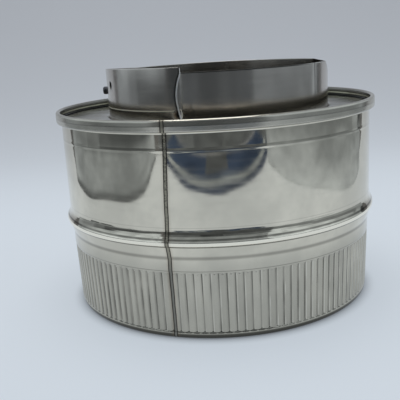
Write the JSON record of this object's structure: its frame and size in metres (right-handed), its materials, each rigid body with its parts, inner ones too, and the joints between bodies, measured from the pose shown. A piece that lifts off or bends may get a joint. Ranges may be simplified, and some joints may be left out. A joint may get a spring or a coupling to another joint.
{
  "type": "double-wall flue adapter",
  "caption": "Insulated stainless flue adapter with a plain spigot at one end and a crimped male end with a stop bead at the other.",
  "frame": {"origin": "centre of the crimped end's edge, on the casing axis, on the surface it stands on", "axes": "+Z along the flue axis towards the spigot, -Y towards the front with the weld seams"},
  "size_m": [0.1856, 0.1856, 0.1361],
  "materials": {
    "casing_steel": "bright, almost mirror",
    "liner_steel": "bright",
    "wool": "fibrous",
    "screw_steel": "dark"
  },
  "bodies": {
    "root": {"outer_casing": "casing_steel", "inner_liner": "liner_steel", "closing_ring": "liner_steel", "insulation": "wool", "fixing_screw": "screw_steel"}
  },
  "joints": []
}
